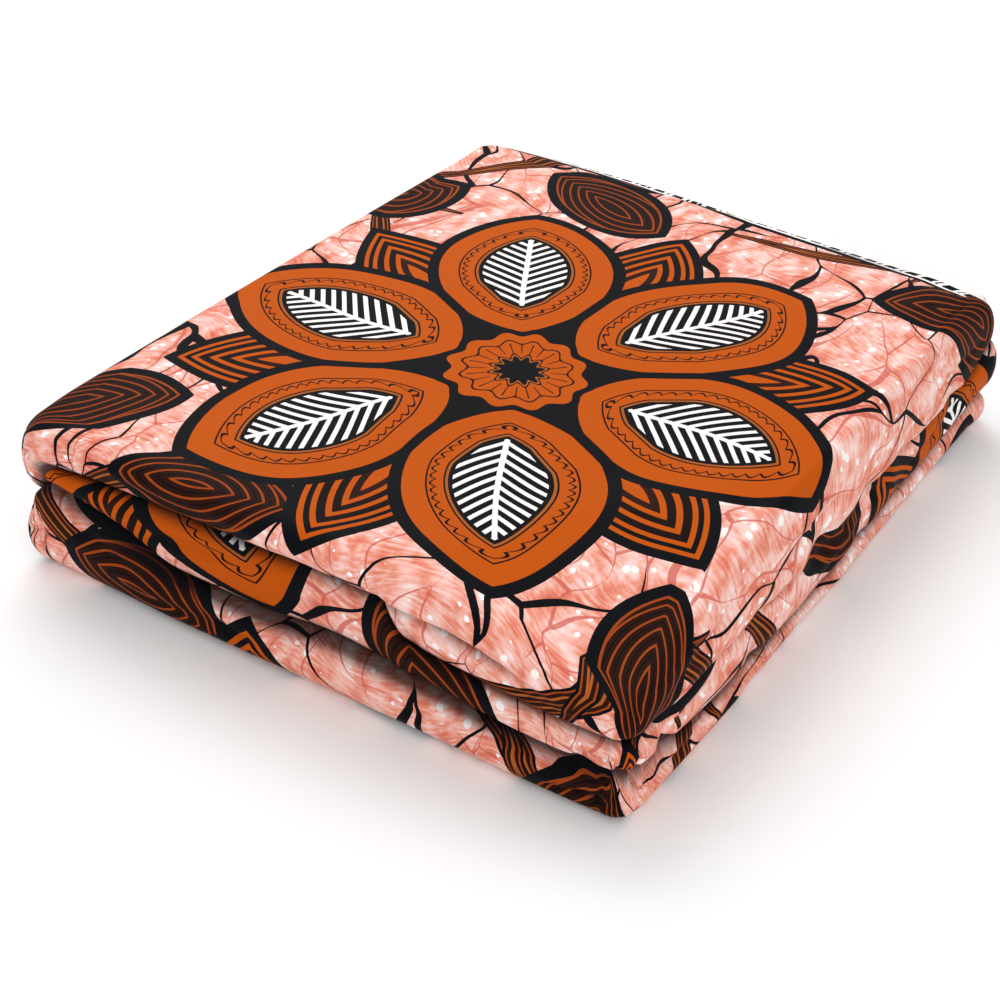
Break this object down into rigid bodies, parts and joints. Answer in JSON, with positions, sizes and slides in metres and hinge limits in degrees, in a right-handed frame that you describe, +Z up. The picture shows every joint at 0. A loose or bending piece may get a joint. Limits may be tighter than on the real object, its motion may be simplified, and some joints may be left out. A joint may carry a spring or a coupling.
{
  "type": "folded wax print fabric",
  "caption": "Length of wax print cotton folded flat into a two-tier bundle, with soft rolled folds at the front and selvages at the back.",
  "frame": {"origin": "under the middle of the bundle's box, on the surface that it lies on", "axes": "+Z up; +X along the rolled front edge, from the corner with the two noses to the sagging corner; +Y from the rolled front edge to the side with the selvages, the longest side"},
  "size_m": [0.2518, 0.2922, 0.062],
  "materials": {
    "printed_cotton": "plain woven cotton with a wax print in orange, navy, brown and pink, slightly glazed",
    "layer_edges": "edges of the same printed cotton, with white selvages"
  },
  "bodies": {
    "root": {"top_sheet": "printed_cotton", "middle_fold": "printed_cotton", "lower_sheet": "printed_cotton", "hidden_layers": "layer_edges"}
  },
  "joints": []
}
